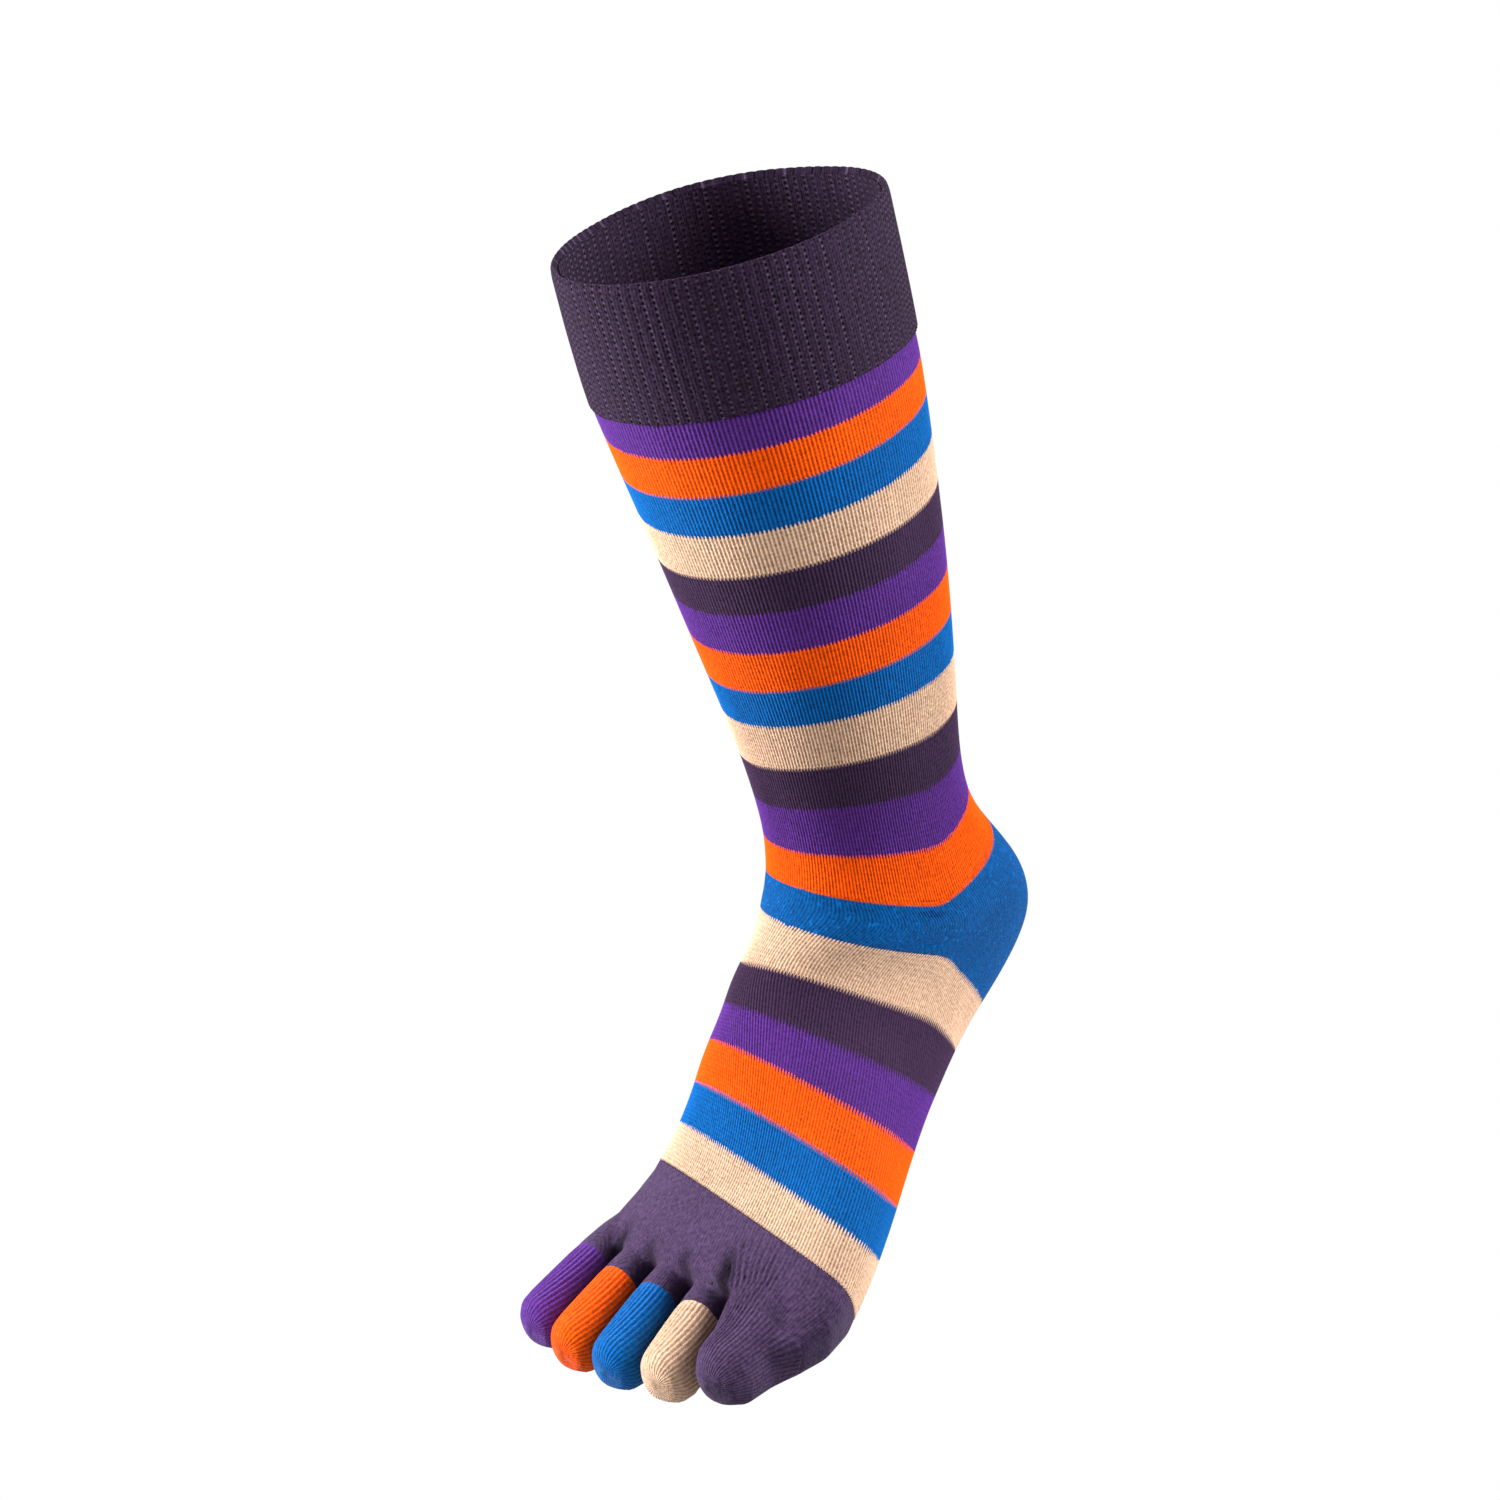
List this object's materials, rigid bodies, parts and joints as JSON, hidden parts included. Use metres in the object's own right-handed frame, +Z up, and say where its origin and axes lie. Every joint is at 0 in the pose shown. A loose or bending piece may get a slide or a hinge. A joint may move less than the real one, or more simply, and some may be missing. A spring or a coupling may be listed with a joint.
{
  "type": "toe sock",
  "caption": "Knitted toe sock for a right foot with a ribbed cuff, a striped leg and foot, a plain heel pocket and a separate pocket for each toe.",
  "frame": {"origin": "where the worn foot stands: straight below the ankle, on the level of the sole under the ball", "axes": "+Z up along the leg, toes towards -Y, big toe towards +X"},
  "size_m": [0.1102, 0.2492, 0.2862],
  "materials": {
    "plum_rib": "Matt ribbed cotton knit, plum",
    "leg_stripes": "Matt cotton knit in stripes of purple, orange, blue, beige and plum",
    "heel_blue": "Matt cotton knit, blue",
    "foot_stripes": "Matt cotton knit in stripes of beige, plum, purple, orange and blue",
    "forefoot_plum": "Matt cotton knit, plum",
    "big_toe_plum": "Matt cotton knit, plum",
    "second_toe_beige": "Matt cotton knit, beige",
    "third_toe_blue": "Matt cotton knit, blue",
    "fourth_toe_orange": "Matt cotton knit, orange",
    "little_toe_purple": "Matt cotton knit, purple"
  },
  "bodies": {
    "root": {"cuff": "plum_rib", "leg": "leg_stripes", "heel": "heel_blue", "foot": "foot_stripes", "forefoot": "forefoot_plum", "big_toe": "big_toe_plum", "second_toe": "second_toe_beige", "third_toe": "third_toe_blue", "fourth_toe": "fourth_toe_orange", "little_toe": "little_toe_purple"}
  },
  "joints": []
}
